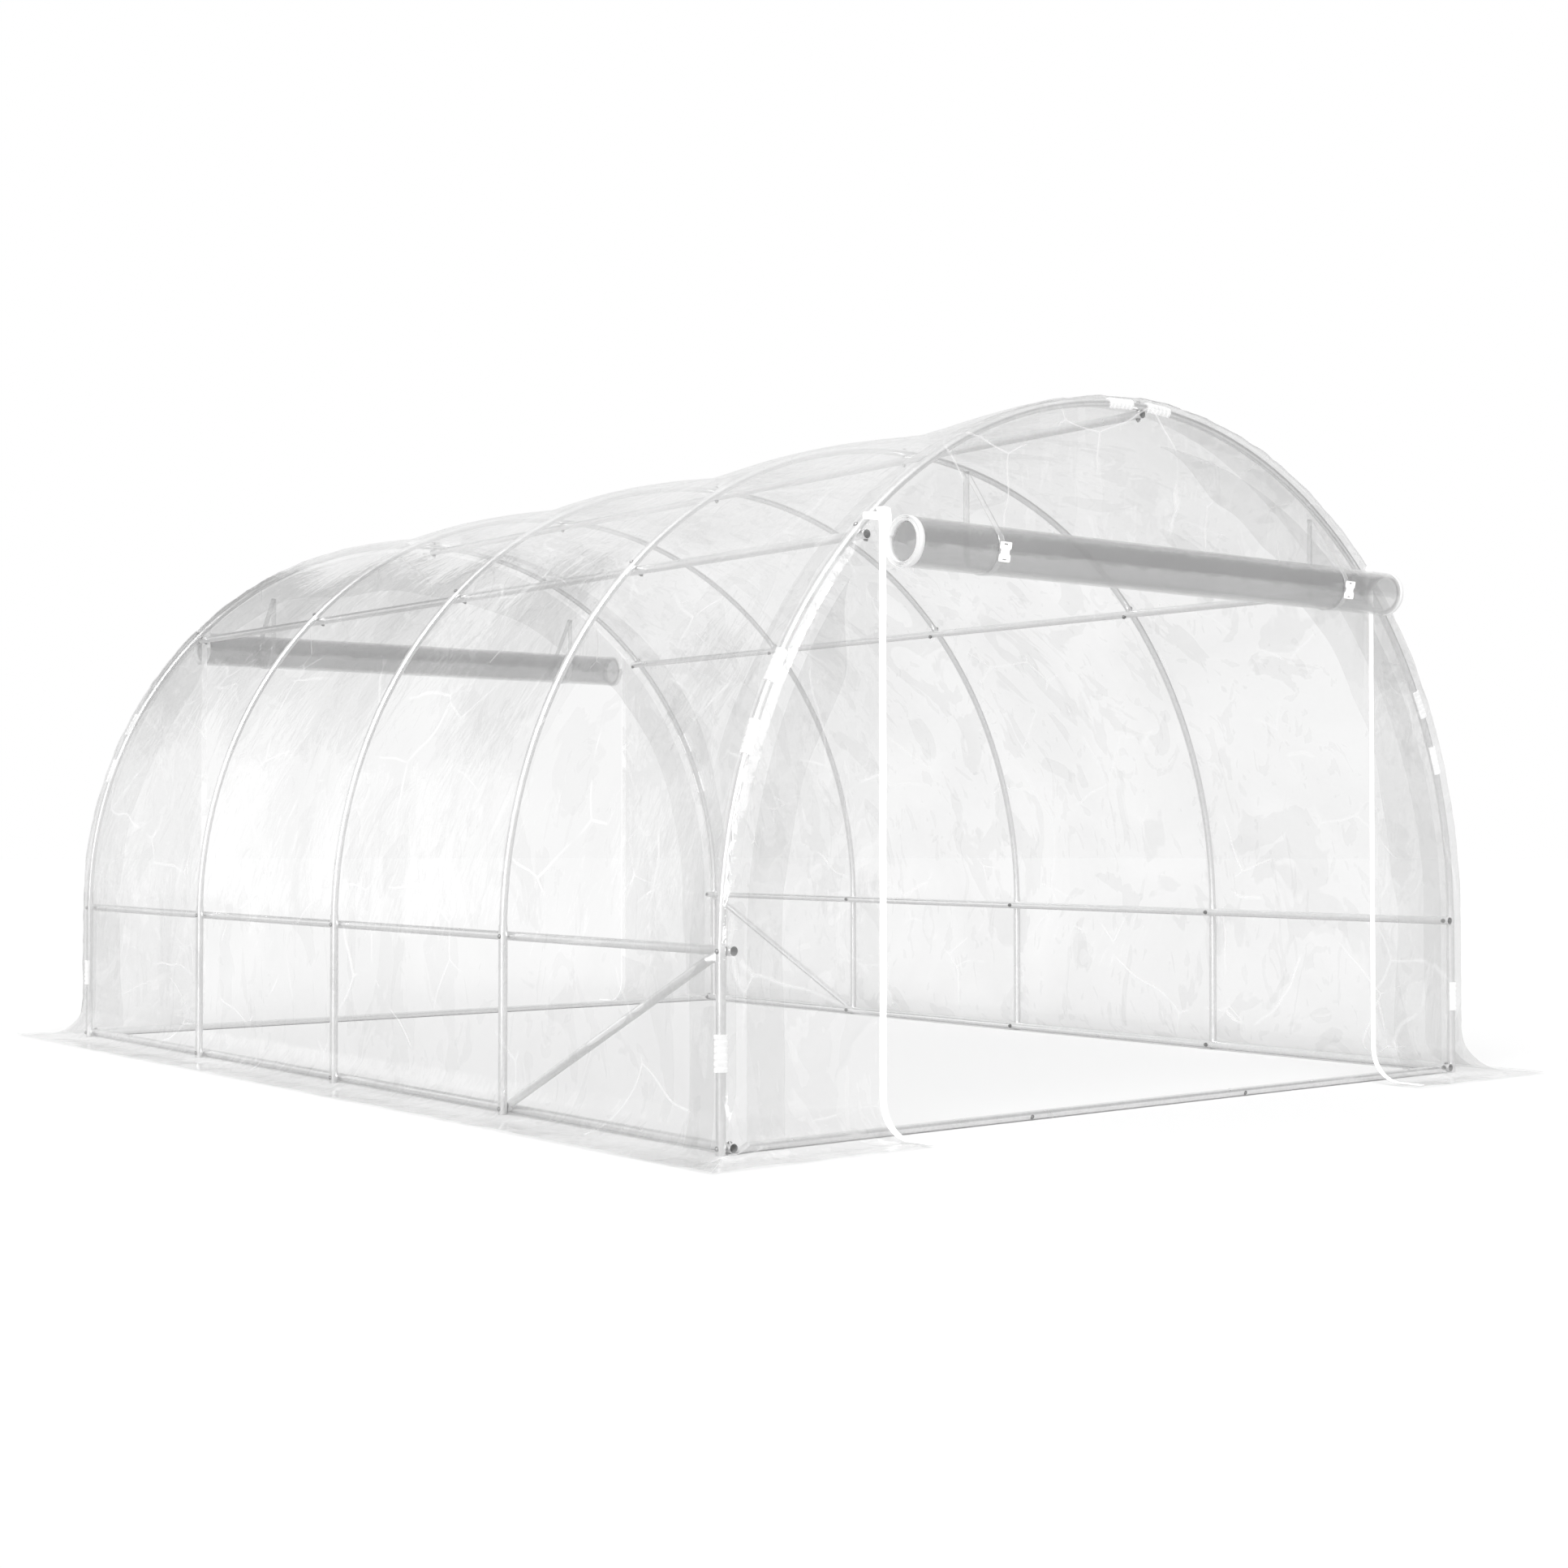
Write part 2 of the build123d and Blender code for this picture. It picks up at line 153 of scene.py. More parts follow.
sun_data = bpy.data.lights.new("soft_sun", "SUN")
sun_data.energy = sun_strength
sun_data.angle = math.radians(sun_spread)
sun = bpy.data.objects.new("soft_sun", sun_data)
sun.rotation_euler = sun_from.to_track_quat("Z", "Y").to_euler()
scene.collection.objects.link(sun)


# %% Soft boxes that only reflections see
def soft_box(name, place, aim, width, height, power):
    data = bpy.data.lights.new(name, "AREA")
    data.shape = "RECTANGLE"
    data.size = width
    data.size_y = height
    data.energy = power
    box = bpy.data.objects.new(name, data)
    box.location = place
    box.rotation_euler = (Vector(aim) - Vector(place)).to_track_quat("-Z", "Y").to_euler()
    box.visible_diffuse = False
    box.visible_camera = False
    box.visible_transmission = False
    scene.collection.objects.link(box)


soft_box("corner_box", (-7.5, -4.0, 2.6), (-1.5, -2.0, 1.2), 1.6, 4.0, 240)
soft_box("high_box", (-3.0, -6.5, 5.5), (0.0, -1.5, 1.6), 2.5, 1.2, 500)
soft_box("streak_box", (-5.4, 7.6, 2.2), (-1.4, 0.0, 1.1), 1.6, 3.4, 12)


# %% [markdown]
# A shiny tube in a white room has no outline. Photographers stand dark cards, called flags, beside
# it, and their reflections draw the dark lines along the tubes. These cards are dark grey, and
# only reflections see them.

# %% A turn that faces an axis
def facing(axis, place):
    """Matrix that puts +Z along an axis, at a place."""
    turn = Vector(axis).to_track_quat("Z", "Y").to_matrix().to_4x4()
    return Matrix.Translation(Vector(place)) @ turn


# %% Objects and plain finishes for the stage
def add_object(name, bm, material):
    """Object at the origin with the mesh of a bmesh, which is freed."""
    mesh = bpy.data.meshes.new(name)
    bm.to_mesh(mesh)
    bm.free()
    mesh.materials.append(material)
    made = bpy.data.objects.new(name, mesh)
    scene.collection.objects.link(made)
    return made


def matt_finish(name, grey):
    """Matt grey material and its shader, which can glow white."""
    material = bpy.data.materials.new(name)
    material.use_nodes = True
    shader = material.node_tree.nodes["Principled BSDF"]
    set_inputs(shader, {"Base Color": (grey, grey, grey, 1), "Roughness": 1.0,
                        "Specular IOR Level": 0.0, "Emission Color": (1, 1, 1, 1)})
    return material, shader


# %% Dark cards
card_grey = 0.02


def flag_card(name, place, aim, width, height, glow):
    """Dark card that only reflections see. The glow keeps it from going quite black."""
    material, shader = matt_finish(name, card_grey)
    shader.inputs["Emission Strength"].default_value = glow
    bm = bmesh.new()
    bmesh.ops.create_grid(bm, x_segments=1, y_segments=1, size=0.5)
    bmesh.ops.scale(bm, verts=bm.verts, vec=(width, height, 1))
    bmesh.ops.transform(bm, verts=bm.verts, matrix=facing(Vector(aim) - Vector(place), place))
    flag = add_object(name, bm, material)
    flag.visible_camera = False
    flag.visible_diffuse = False
    flag.visible_transmission = False
    flag.visible_shadow = False


flag_card("right_flag", (6.0, -7.0, 4.9), (0.0, -7.0, 4.9), 10.0, 7.0, 0.40)
flag_card("back_flag", (-1.4, 8.0, 5.3), (-1.4, 0.0, 5.3), 5.4, 3.6, 0.30)

# %% [markdown]
# The floor is plain and pale. It is lit like everything else, so it keeps the soft shadow of the
# tubes, and a little light of its own, for the camera only, lifts it to the white of the
# background.

# %% Floor
floor_grey = 0.80
floor_lift = 0.18
floor_radius = 60.0
floor_drop = 0.0006          # of the floor under the film that lies on it

floor_material, shader = matt_finish("pale_floor", floor_grey)
tree = floor_material.node_tree
rays = add_node(tree, "ShaderNodeLightPath").outputs
feed(add_math(tree, "MULTIPLY", rays["Is Camera Ray"], floor_lift), shader, "Emission Strength")

bm = bmesh.new()
bmesh.ops.create_circle(bm, cap_ends=True, radius=floor_radius, segments=96)
bmesh.ops.translate(bm, verts=bm.verts, vec=(0, 0, -floor_drop))
add_object("floor", bm, floor_material)

# %% [markdown]
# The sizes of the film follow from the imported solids: where the walls stand, how far the end films
# hang out in front of the end hoops, how far the skirt reaches over the ground.

# %% Sizes read from the frame
wall_low, wall_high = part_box("right_wall_film")
end_film_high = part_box("front_film_right")[1]
roll_low, roll_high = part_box("front_door_roll")
leg_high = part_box("hoop_1_legs")[1]
hoop_tops = [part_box(f"hoop_{n}_upper_arcs") for n in range(1, 6)]

solid_film = 0.0015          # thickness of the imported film
film_x = wall_low.x + solid_film / 2              # where a wall's sheet stands
film_y = -end_film_high.y + solid_film / 2        # where an end sheet stands
skirt_reach = wall_high.x - wall_low.x
leg_sleeve = 0.020           # height of a leg's socket over the centre of the arch
side_height = leg_high.z - leg_sleeve
flare_radius = 0.110         # of the bend from the wall to the skirt
hoop_ys = [(low.y + high.y) / 2 for low, high in hoop_tops]
bay = hoop_ys[1] - hoop_ys[0]
door_half = roll_high.x
roll_radius = (roll_high.z - roll_low.z) / 2
roll_centre = (roll_high.z + roll_low.z) / 2
print("film_x", film_x, "film_y", film_y, "side", side_height, "bay", bay, "door", door_half)
print("roll", roll_radius, roll_centre, roll_low.y, roll_high.y)

# %% [markdown]
# The film is one clear soft plastic everywhere. A single layer takes away little light and adds a
# little grey of its own, so two layers look darker than one and the many layers of a rolled-up
# door look mid grey, with no second material. The gloss is mixed in by the angle of the surface,
# outside the see-through part, so that a mirrored soft box stays bright white on film that is
# nearly clear.

# %% Materials on Object coordinates
def new_material(name):
    """Empty material, its node tree and the Object coordinates in it."""
    material = bpy.data.materials.new(name)
    material.use_nodes = True
    tree = material.node_tree
    tree.nodes.clear()
    return material, tree, add_node(tree, "ShaderNodeTexCoord").outputs["Object"]


def add_output(tree, shader_socket):
    feed(shader_socket, add_node(tree, "ShaderNodeOutputMaterial"), "Surface")


def add_noise(tree, coords, scale, detail=3.0, roughness=0.5, distortion=0.0, stretch=(1, 1, 1)):
    """Noise on the given coordinates, stretched by a Mapping node."""
    mapping = add_node(tree, "ShaderNodeMapping", {"Scale": stretch})
    feed(coords, mapping, "Vector")
    texture = add_node(tree, "ShaderNodeTexNoise",
                       {"Scale": scale, "Detail": detail, "Roughness": roughness,
                        "Distortion": distortion})
    feed(mapping.outputs["Vector"], texture, "Vector")
    return texture.outputs["Fac"]


def add_bump(tree, height, strength, distance):
    node = add_node(tree, "ShaderNodeBump", {"Strength": strength, "Distance": distance})
    feed(height, node, "Height")
    return node.outputs["Normal"]


def split_place(tree, coords):
    """X, Y and Z of the coordinates, as sockets."""
    split = add_node(tree, "ShaderNodeSeparateXYZ")
    feed(coords, split, 0)
    return split.outputs


# %% Marks in the film, and painted highlights along its creases
streak_lean = 27             # degrees from upright, towards the front
crease_bend = 0.18           # metres by which the crease cells are bent
crease_width = 0.011         # of a crease line, as a share of a cell


def add_streaks(tree, coords):
    """Long fine pulls in the film that lean towards the front as they rise."""
    mapping = add_node(tree, "ShaderNodeMapping",
                       {"Rotation": (math.radians(streak_lean), 0, 0), "Scale": (1, 1, 5)},
                       vector_type="TEXTURE")
    feed(coords, mapping, "Vector")
    streaks = add_node(tree, "ShaderNodeTexNoise",
                       {"Scale": 26.0, "Detail": 3.0, "Distortion": 0.7})
    feed(mapping.outputs["Vector"], streaks, "Vector")
    return streaks.outputs["Fac"]


def add_crease_highlights(tree, coords):
    """Mask of painted crease highlights: 1 on fine lines along the edges of large bent cells, fading
    out here and there, else 0.
    """
    bend = add_node(tree, "ShaderNodeTexNoise", {"Scale": 2.2})
    feed(coords, bend, "Vector")
    bent = add_node(tree, "ShaderNodeVectorMath", {1: (crease_bend, crease_bend, crease_bend)},
                    operation="MULTIPLY_ADD")
    feed(bend.outputs["Color"], bent, 0)
    feed(coords, bent, 2)
    cells = add_node(tree, "ShaderNodeTexVoronoi", {"Scale": 2.6}, feature="DISTANCE_TO_EDGE")
    feed(bent.outputs["Vector"], cells, "Vector")
    line = add_range(tree, cells.outputs["Distance"], 0.0, crease_width, 1.0, 0.0)
    fade = add_range(tree, add_noise(tree, coords, 4.0, 2.0), 0.48, 0.58, 0.0, 1.0)
    return add_math(tree, "MULTIPLY", line, fade)


def upper_mask(tree, coords, height, lean, middle_y):
    """1 above an uneven line and 0 below it, on a plane that leans up away from the front."""
    place = split_place(tree, coords)
    plane = add_node(tree, "ShaderNodeMath", {1: -lean, 2: lean * middle_y - height},
                     operation="MULTIPLY_ADD")
    feed(place["Y"], plane, 0)
    over = add_math(tree, "ADD", place["Z"], plane.outputs[0])
    for scale, reach in ((2.0, 0.012), (14.0, 0.014), (60.0, 0.007)):
        wander = add_noise(tree, coords, scale, 2.0, 0.6, 0.0, (1.0, 0.0, 0.0))
        over = add_math(tree, "ADD", over, add_range(tree, wander, 0.25, 0.75, -reach, reach))
    return add_range(tree, over, -0.0008, 0.0008, 0.0, 1.0)


# %% Clear film
film_grey = 0.50             # the film's own colour
film_cover = (0.09, 0.20)    # share of the light that one layer stops, in clear and cloudy places
# painted highlight: the lighter grey of the crease lines
crease_highlight_grey = 0.97
split_contrast = (0.06, -0.08)                # of the grey under and over the line that splits a rolled-up door
# crisp patches, large and small, which add cover as a random tone; below zero they take cover away
# and are painted highlights: the noise's scale, roughness, distortion and stretch in Z, the two
# values between which a patch sets in, and its share of the strength
patch_kinds = ((3.1, 0.55, 1.6, 0.6, 0.56, 0.585, 1.0), (9.0, 0.5, 2.2, 0.5, 0.60, 0.62, 0.7))
skirt_shade_heights = (0.012, 0.030)               # painted shade on the skirt, near the ground, fades out between these
skirt_shade = 0.06
gloss_range = (0.05, 0.95)   # seen straight on, and along the surface


def make_film(name, grey=film_grey, cover=film_cover, gloss_roughness=0.09, patches=0.0,
              crease_highlights=0.0, split_line=None):
    """Clear film. Patches add cover in crisp-edged places, a random tone; below zero they take cover
    away and are painted highlights. Crease highlights are painted highlights: fine lighter lines
    along creases. An uneven line, as (height, lean, y), splits a rolled-up door into a darker upper
    and a lighter lower half."""
    material, tree, coords = new_material(name)
    body = add_node(tree, "ShaderNodeBsdfPrincipled",
                    {"Base Color": (grey, grey, grey, 1), "Roughness": 0.35})
    cloud = add_noise(tree, coords, 1.6, 4.0, 0.5, 0.8)
    shares = [add_range(tree, cloud, 0.35, 0.65, *cover)]
    if patches:
        for scale, roughness, distortion, upright, low, high, part in patch_kinds:
            leaf = add_noise(tree, coords, scale, 3.0, roughness, distortion, (1.0, 1.0, upright))
            shares.append(add_range(tree, leaf, low, high, 0.0, patches * part))
    if crease_highlights:
        line = add_crease_highlights(tree, coords)
        shares.append(add_range(tree, line, 0.0, 1.0, 0.0, crease_highlights))
        feed(add_range(tree, line, 0.0, 0.3, grey, crease_highlight_grey), body, "Base Color")
    if split_line:
        upper = upper_mask(tree, coords, *split_line)
        shares.append(add_range(tree, upper, 0.0, 1.0, 0.0, 0.06))
        greys = [grey + step for step in split_contrast]
        feed(add_range(tree, upper, 0.0, 1.0, *greys), body, "Base Color")
    # painted shade: more cover near the ground, which darkens the skirt
    shares.append(add_range(tree, split_place(tree, coords)["Z"], *skirt_shade_heights, skirt_shade, 0.0))
    share = shares[0]
    for more in shares[1:]:
        share = add_math(tree, "ADD", share, more)
    feed(share, body, "Alpha")
    folds = add_noise(tree, coords, 9.0, 4.0, 0.6, 1.5, (1, 1, 0.45))
    relief = add_math(tree, "ADD", folds, add_streaks(tree, coords))
    normal = add_bump(tree, relief, 0.45, 0.005)
    gloss = add_node(tree, "ShaderNodeBsdfGlossy",
                     {"Color": (0.95, 0.95, 0.95, 1), "Roughness": gloss_roughness})
    angle = add_node(tree, "ShaderNodeLayerWeight", {"Blend": 0.5})
    for node in (body, gloss, angle):
        feed(normal, node, "Normal")
    steep = add_math(tree, "POWER", angle.outputs["Facing"], 5.0)
    mix = add_node(tree, "ShaderNodeMixShader")
    feed(add_range(tree, steep, 0.0, 1.0, *gloss_range), mix, "Fac")
    feed(body.outputs["BSDF"], mix, 1)
    feed(gloss.outputs["BSDF"], mix, 2)
    add_output(tree, mix.outputs["Shader"])
    return material


# Crease highlights are painted highlights, and so are patches below zero, which take cover away.
film_material = make_film("clear_film", patches=0.09, crease_highlights=0.10)
end_film_material = make_film("end_film", cover=(0.13, 0.20), patches=-0.09, crease_highlights=0.12)
head_film_material = make_film("head_film", cover=(0.09, 0.15), patches=-0.07, crease_highlights=0.50)
hem_material = make_film("hem_film", 0.42, (0.11, 0.17), patches=0.03)
strap_material = make_film("strap_film", 0.80, (0.20, 0.26), 0.2)
roll_materials = {
    end: make_film(f"{name}_rolled_film", 0.46, (0.130, 0.145), 0.16,
                   split_line=(roll_centre - 0.002, lean, end * (film_y + roll_radius)))
    for end, name, lean in ((-1, "front", 0.20), (1, "rear", 0.10))
}

# %% [markdown]
# The other finishes: zinc-coated steel tube, darker bolts, white moulded plastic and white woven
# tape. Each has small variation at its real scale, from noise on Object coordinates, and each
# number that is the same everywhere is set on the shader itself.


# %% Steel and bolts
def make_metal(name, dark, light, metallic, rough_low, rough_high, grain):
    material, tree, coords = new_material(name)
    crystals = add_node(tree, "ShaderNodeTexVoronoi", {"Scale": grain})
    feed(coords, crystals, "Vector")
    cloud = add_noise(tree, coords, 14.0, 4.0, 0.6, 0.5)
    mottle = add_math(tree, "MULTIPLY", crystals.outputs["Distance"], cloud)
    shader = add_node(tree, "ShaderNodeBsdfPrincipled", {"Metallic": metallic})
    feed(add_range(tree, mottle, 0.05, 0.45, dark, light), shader, "Base Color")
    feed(add_range(tree, cloud, 0.3, 0.7, rough_low, rough_high), shader, "Roughness")
    add_output(tree, shader.outputs["BSDF"])
    return material


steel_material = make_metal("galvanised_steel", 0.80, 0.86, 0.80, 0.27, 0.33, 90.0)
bolt_material = make_metal("bolt_steel", 0.26, 0.36, 0.90, 0.30, 0.45, 500.0)


# %% White plastic
# painted light: a glow of their own, though they are no lamps, which lifts clips, buckles, tapes and
# rings to white; it stands in part for the light which comes through thin white parts
plastic_painted_glow = 0.27
tape_painted_glow = 0.38
ring_painted_glow = 0.10


def make_plastic(name, grey):
    material, tree, coords = new_material(name)
    grain = add_noise(tree, coords, 900.0, 2.0)
    cloud = add_noise(tree, coords, 30.0, 3.0)
    # painted light: the plastic glows white
    shader = add_node(tree, "ShaderNodeBsdfPrincipled",
                      {"Emission Color": (1, 1, 1, 1), "Emission Strength": plastic_painted_glow})
    feed(add_range(tree, cloud, 0.3, 0.7, grey - 0.03, grey + 0.02), shader, "Base Color")
    feed(add_range(tree, cloud, 0.3, 0.7, 0.34, 0.46), shader, "Roughness")
    feed(add_bump(tree, grain, 0.1, 0.0002), shader, "Normal")
    add_output(tree, shader.outputs["BSDF"])
    return material


plastic_material = make_plastic("white_plastic", 0.92)


# %% Woven tape
thread = 0.0012              # width of one thread of the weave


def make_tape(name, grey, glow):
    """Plain weave: two waves at right angles, one thread wide each, and a glow of painted light."""
    material, tree, coords = new_material(name)
    waves = []
    for direction in ("X", "Z"):
        wave = add_node(tree, "ShaderNodeTexWave",
                        {"Scale": 1.0 / thread / 3.1416, "Distortion": 0.4},
                        bands_direction=direction)
        feed(coords, wave, "Vector")
        waves.append(wave.outputs["Fac"])
    weave = add_math(tree, "MULTIPLY", *waves)
    shader = add_node(tree, "ShaderNodeBsdfPrincipled",
                      {"Roughness": 0.85, "Sheen Weight": 0.2, "Emission Color": (1, 1, 1, 1),
                       "Emission Strength": glow})
    feed(add_range(tree, weave, 0.0, 1.0, grey - 0.05, grey + 0.03), shader, "Base Color")
    feed(add_bump(tree, weave, 0.4, 0.0002), shader, "Normal")
    add_output(tree, shader.outputs["BSDF"])
    return material


tape_material = make_tape("zip_tape", 0.93, tape_painted_glow)
ring_material = make_tape("rolled_tape", 0.90, ring_painted_glow)

# %% [markdown]
# A sheet starts as a flat grid, and every vertex is then moved to its place on the frame. One
# helper does this for all sheets: the place is a function of how far along (0 to 1) the vertex
# lies each way. The flat size that the film was cut to is added up from the same grid.


# %% Sheets from a grid
def finish_piece(name, bm, material, smooth=True):
    """Turn a bmesh into an object at the origin that rides on the frame."""
    piece = add_object(name, bm, material)
    for polygon in piece.data.polygons:
        polygon.use_smooth = smooth
    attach(piece, "root")
    return piece


def grid_sheet(columns, rows, place):
    """Grid of columns by rows cells, with each vertex at place(u, v), u and v from 0 to 1."""
    bm = bmesh.new()
    bmesh.ops.create_grid(bm, x_segments=columns, y_segments=rows, size=0.5)
    for vertex in bm.verts:
        vertex.co = place(vertex.co.x + 0.5, vertex.co.y + 0.5)
    return bm


def mesh_area(bm):
    return sum(face.calc_area() for face in bm.faces)


# %% Smooth steps and folds of noise
def smooth_step(low, high, value):
    """0 below low, 1 above high, and a smooth rise between them."""
    t = min(max((value - low) / (high - low), 0.0), 1.0)
    return t * t * (3 - 2 * t)


def fold(x, y, z, scale, seed):
    """Smooth noise from about -1 to 1 at a point, with folds of the given size in metres."""
    return noise.noise(Vector((x / scale, y / scale, z / scale + seed * 17.3)))


# %% [markdown]
# The cover is one sheet, six metres across: it lies on the ground as a skirt, curves up the wall,
# runs over the hoops and comes down the other side in the same way. Between the hoops it sags
# inwards, and it is pulled into fine folds that run away from the hoops. Its ends turn in round
# the end hoops over the clips, which is where the photograph shows the brightest streaks.

# %% The cover's section, from one skirt edge to the other
corner_round = 0.030         # radius at which the cover turns in to an end film
rim = film_x - corner_round  # radius of an end film's round edge
skirt_flat = skirt_reach - flare_radius
flare_length = flare_radius * math.pi / 2
wall_length = side_height - flare_radius
arch_length = film_x * math.pi
half_length = skirt_flat + flare_length + wall_length + arch_length / 2
skirt_lift = 0.0012          # of the film over the floor


def foot_offset(down):
    """Outward offset and height of a film foot, by the distance down from the top of the flare."""
    if down < flare_length:
        angle = down / flare_radius
        offset = flare_radius * (1 - math.cos(angle))
        return offset, flare_radius - (flare_radius - skirt_lift) * math.sin(angle)
    return flare_radius + down - flare_length, skirt_lift


def cover_section(s):
    """Point and outward normal in the XZ plane at a distance from the ridge, to +X, and the skirt
    offset from the wall there."""
    side = 1 if s > 0 else -1
    run = abs(s)
    if run < arch_length / 2:
        angle = math.pi / 2 - run / film_x
        x, z = math.cos(angle), math.sin(angle)
        return side * film_x * x, side_height + film_x * z, side * x, z, 0.0
    run -= arch_length / 2
    if run < wall_length:
        return side * film_x, side_height - run, side, 0.0, 0.0
    offset, height = foot_offset(run - wall_length)
    angle = min((run - wall_length) / flare_radius, math.pi / 2)
    return side * (film_x + offset), height, side * math.cos(angle), math.sin(angle), offset


# %% Sag between the hoops and folds in the film
arch_sag = 0.022
wall_sag = 0.006
arch_calm = 0.45             # share of its small folds that the arch loses
hoop_folds = 0.35            # share of the folds that is left where a hoop stretches the film
skirt_wave = 0.004           # height of the waves in a skirt


def sag_share(y):
    """0 at a hoop and 1 half-way to the next."""
    along = (y - hoop_ys[0]) / bay
    if along < 0 or along > len(hoop_ys) - 1:
        return 0.0
    return math.sin(math.pi * (along % 1.0)) ** 2


def rounding(z):
    """Radius at which the cover turns in at a height: none on the ground."""
    return corner_round * smooth_step(0.04, 0.16, z)


def skirt_ripple(offset, x, y, z, seed):
    """Height of the waves in a skirt, at an offset from its wall."""
    return skirt_wave * smooth_step(0.02, 0.12, offset) * (1 + fold(x, y, z, 0.16, seed))


def cover_point(u, v):
    x, z, out_x, out_z, offset = cover_section((2 * u - 1) * half_length)
    y_end = film_y + offset
    y = (2 * v - 1) * y_end
    near_end = y_end - abs(y)
    radius = rounding(z)
    turn_in = 0.0
    if near_end < radius:
        turn_in = radius - math.sqrt(radius ** 2 - (radius - near_end) ** 2)
    on_arch = smooth_step(side_height - 0.1, side_height + 0.4, z)
    sag = wall_sag + (arch_sag - wall_sag) * on_arch
    inward = sag * sag_share(y) * smooth_step(0.03, 0.3, z)
    # large, middle and small folds
    calm = 1 - arch_calm * on_arch
    wave = 0.006 * fold(x, y * 0.55 + z * 0.4, z, 0.34, 1)
    wave += 0.0035 * calm * fold(x + 0.5 * y, y - 0.5 * z, z * 0.5, 0.11, 2)
    wave += 0.0022 * calm * fold(x - y, y + z, z * 0.6, 0.045, 3)
    loose = smooth_step(0.0, 0.10, near_end) * smooth_step(0.0, 0.05, z)
    tight = hoop_folds + (1 - hoop_folds) * sag_share(y)
    # crumpled film where the cover is pulled round the end hoops
    crumple = 0.0042 * fold(x, y, z, 0.070, 6) + 0.0022 * fold(x, y, z, 0.026, 7)
    at_end = smooth_step(0.0, 0.012, near_end) * (1 - smooth_step(0.05, 0.12, near_end))
    crumple *= at_end * smooth_step(0.05, 0.2, z)
    push = wave * loose * tight + crumple - inward - turn_in
    ripple = skirt_ripple(offset, x, y, 0, 4)
    return Vector((x + out_x * push, y, z + out_z * push + ripple))


# %% The cover
cover_columns, cover_rows = 300, 240
bm = grid_sheet(cover_columns, cover_rows, cover_point)
cover_area = mesh_area(bm)
cover = finish_piece("cover_film", bm, film_material)
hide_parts("left_wall_film", "right_wall_film", "left_roof_film", "right_roof_film")

# %% [markdown]
# Each end has a panel left and right of the doorway and a head over it. A side panel fills the
# space between the straight zip and the round hoop, so its rows get shorter towards the top, and
# it runs out over the ground as a skirt, mitred with the cover's own.

# %% Side panels of the ends
panel_top = side_height + math.sqrt(rim ** 2 - door_half ** 2)
panel_run = panel_top - flare_radius + flare_length + skirt_flat
slack_width = 0.2            # from this width on a film hangs quite loose


def end_ripple(x, z, seed, loose):
    """Folds of an end film, outwards from the tunnel."""
    wave = 0.012 * fold(x, 0.3 * z, 0, 0.42, seed)
    wave += 0.006 * fold(x + 0.4 * z, z, 0, 0.15, seed + 1)
    wave += 0.0025 * fold(x - 0.7 * z, z, 0, 0.05, seed + 2)
    return wave * loose


def side_panel_point(side, end):
    def place(u, v):
        down = (1 - v) * panel_run
        offset = 0.0
        height = panel_top - down
        if height < flare_radius:
            offset, height = foot_offset(down - (panel_top - flare_radius))
        outer = film_x + offset - rounding(height)
        if height > side_height:
            outer = math.sqrt(max(rim ** 2 - (height - side_height) ** 2, door_half ** 2))
        x = door_half + (outer - door_half) * u
        middle = math.sin(math.pi * u) * min((outer - door_half) / slack_width, 1.0)
        ripple = end_ripple(side * x, height, 20 + 7 * side + 3 * end, middle)
        if offset > 0:
            lift = skirt_ripple(offset, x, end * offset, side, 5)
            return Vector((side * x, end * (film_y + offset), height + lift))
        return Vector((side * x, end * (film_y + ripple), height))
    return place


def add_side_panel(side, side_name, end, end_name):
    bm = grid_sheet(60, 150, side_panel_point(side, end))
    if side * end > 0:
        bmesh.ops.reverse_faces(bm, faces=bm.faces)
    area = mesh_area(bm)
    panel = finish_piece(f"{end_name}_{side_name}_panel", bm, end_film_material)
    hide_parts(f"{end_name}_film_{side_name}")
    print(panel.name, "area", round(area, 3))
    return area


ends = ((-1, "front"), (1, "rear"))
sides = ((-1, "left"), (1, "right"))
panel_areas = {(end_name, side_name): add_side_panel(side, side_name, end, end_name)
               for end, end_name in ends for side, side_name in sides}


# %% The film over each door
def head_point(end):
    def place(u, v):
        x = (2 * u - 1) * door_half
        top = side_height + math.sqrt(rim ** 2 - x ** 2)
        z = roll_centre + (top - roll_centre) * v
        loose = math.sin(math.pi * v) ** 0.6 * min((top - roll_centre) / slack_width, 1.0)
        return Vector((x, end * (film_y + end_ripple(x, z, 60 + 5 * end, loose)), z))
    return place


def add_head(end, end_name):
    bm = grid_sheet(170, 44, head_point(end))
    if end > 0:
        bmesh.ops.reverse_faces(bm, faces=bm.faces)
    area = mesh_area(bm)
    head = finish_piece(f"{end_name}_head_panel", bm, head_film_material)
    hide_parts(f"{end_name}_door_head")
    print(head.name, "area", round(area, 3))
    return area


head_areas = {end_name: add_head(end, end_name) for end, end_name in ends}

# %% [markdown]
# The rolled-up door is a real spiral of film: it leaves the head at the back of the roll and goes
# round inwards for four turns and a bit, which is the length of the door. Its side edges carry the
# other half of each zip, and rolled up they make the white rings at the ends.

# %% Rolled-up doors
door_turns = 4.3
door_pitch = 0.0038          # from one turn to the next
ring_width = 0.017           # of the rolled-up zip tape at each end


def spiral_point(turn, end, x, slack):
    """Point on the roll's spiral, turns counted inwards from the film's plane."""
    angle = 2 * math.pi * turn
    radius = roll_radius - door_pitch * turn + slack
    back = math.cos(angle) * radius
    return Vector((x, end * (film_y + roll_radius - back), roll_centre - math.sin(angle) * radius))


